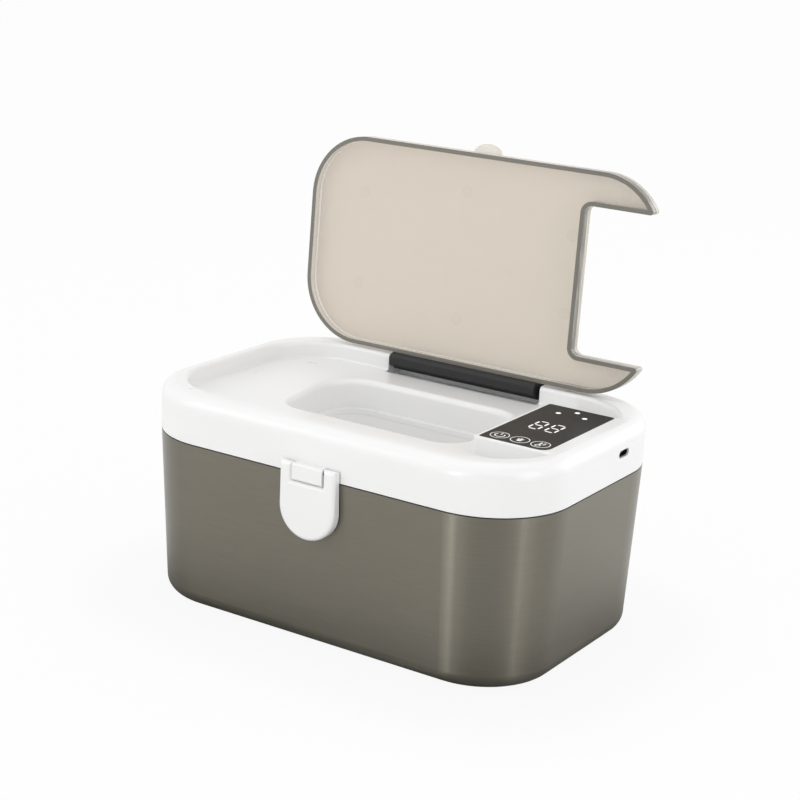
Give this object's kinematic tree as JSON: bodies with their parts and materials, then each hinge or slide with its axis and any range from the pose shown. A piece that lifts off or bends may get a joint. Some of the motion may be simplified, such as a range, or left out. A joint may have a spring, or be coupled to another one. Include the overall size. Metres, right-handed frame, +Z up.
{
  "type": "baby wipe warmer",
  "caption": "Rounded box that warms wipes: tub in a tapered base, heated top housing with a dispensing opening, touch display, hinged smoked lid and a front latch flap.",
  "frame": {"origin": "centre of the footprint of the base on the surface that it stands on (the undersides of the four rubber feet)", "axes": "+X to the right along the width, -Y to the front with the latch, +Z up"},
  "size_m": [0.23, 0.1592, 0.2307],
  "materials": {
    "base_paint": "satin warm grey metallic lacquer on moulded plastic",
    "white_gloss": "polished white ABS",
    "tub_plastic": "satin natural polypropylene",
    "silicone": "soft grey silicone",
    "foot_rubber": "matt black rubber",
    "screw_steel": "zinc plated steel",
    "pin_steel": "blackened steel pin",
    "cover_plastic": "satin white heat-resistant plastic",
    "heater_aluminium": "rolled aluminium",
    "heater_film": "amber polyimide film",
    "foam": "white heat-insulating felt",
    "sensor_bead": "black epoxy",
    "wire_red": "red insulated wire",
    "board_green": "green solder mask",
    "chip_black": "black moulded package",
    "display_black": "dark display module",
    "led_white": "diffused light emitter",
    "pad_foam": "conductive foam",
    "film_dark": "dark smoked overlay",
    "socket_steel": "plated shell",
    "lid_smoke": "smoked translucent plastic",
    "bar_grey": "dark grey plastic"
  },
  "bodies": {
    "base": {"base_shell": "base_paint", "base_feet": "foot_rubber", "inner_tub": "tub_plastic", "tub_seal": "silicone", "tub_screws": "screw_steel", "rear_hinge_pin": "pin_steel"},
    "housing": {"top_housing": "white_gloss", "inner_cover": "cover_plastic", "cover_screws": "screw_steel", "heater_plate": "heater_aluminium", "heating_film": "heater_film", "insulation_pad": "foam", "thermistor": "sensor_bead", "heater_leads": "wire_red", "control_board": "board_green", "board_screws": "screw_steel", "controller_chip": "chip_black", "digit_display": "display_black", "status_leds": "led_white", "touch_pads": "pad_foam", "display_film": "film_dark", "usb_board": "board_green", "usb_socket": "socket_steel", "usb_leads": "wire_red", "latch_pin": "pin_steel"},
    "lid": {"lid_panel": "lid_smoke", "lid_hinge_bar": "bar_grey", "lid_hinge_pin": "pin_steel"},
    "latch": {"latch_flap": "white_gloss"}
  },
  "joints": [
    {"name": "housing_hinge", "type": "hinge", "parent": "base", "child": "housing", "pos_m": [0, 0.0775, 0.0887], "axis": [-1, 0, 0], "range_deg": [0, 75]},
    {"name": "lid_hinge", "type": "hinge", "parent": "housing", "child": "lid", "pos_m": [0, 0.06256, 0.10844], "axis": [1, 0, 0], "range_deg": [0, 93.4]},
    {"name": "latch_hinge", "type": "hinge", "parent": "housing", "child": "latch", "pos_m": [0, -0.0774, 0.0925], "axis": [-1, 0, 0], "range_deg": [0, 110]}
  ]
}
